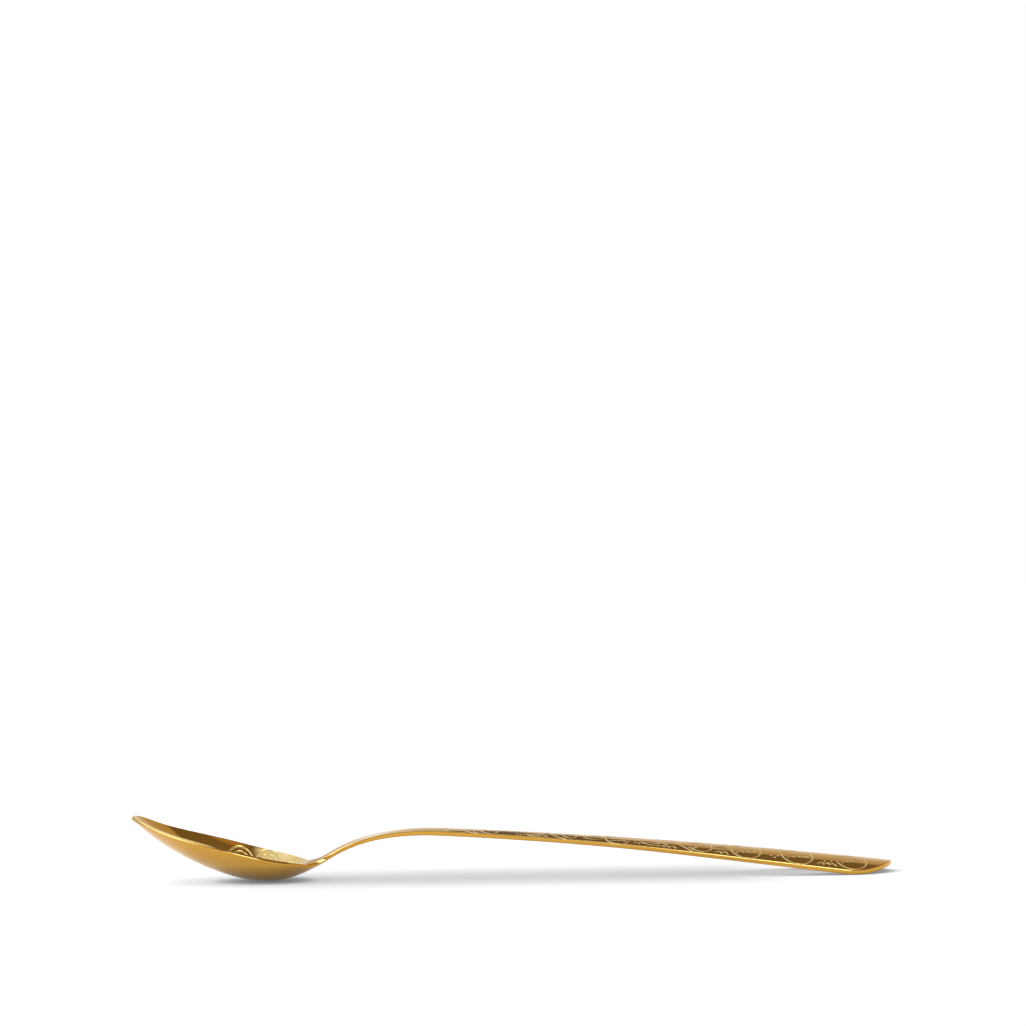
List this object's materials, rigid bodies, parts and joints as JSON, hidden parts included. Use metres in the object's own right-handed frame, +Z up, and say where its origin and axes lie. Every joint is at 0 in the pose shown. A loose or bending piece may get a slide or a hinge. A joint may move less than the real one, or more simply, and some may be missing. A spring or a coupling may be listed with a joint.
{
  "type": "souvenir spoon",
  "caption": "Long-handled souvenir spoon: an egg-shaped bowl, a cranked neck and a flaring arched handle with a rounded end, in gold-coloured polished metal with an engraved line pattern.",
  "frame": {"origin": "on the table under the middle of the spoon: bottom centre of the bounding box, with the spoon lying bowl up as it does at rest", "axes": "+X along the spoon from the tip of the bowl to the end of the handle, +Y across it, +Z up out of the bowl"},
  "size_m": [0.2, 0.0294, 0.018],
  "materials": {
    "gold_finish": "polished"
  },
  "bodies": {
    "root": {"bowl": "gold_finish", "neck": "gold_finish", "stem": "gold_finish", "handle_end": "gold_finish"}
  },
  "joints": []
}
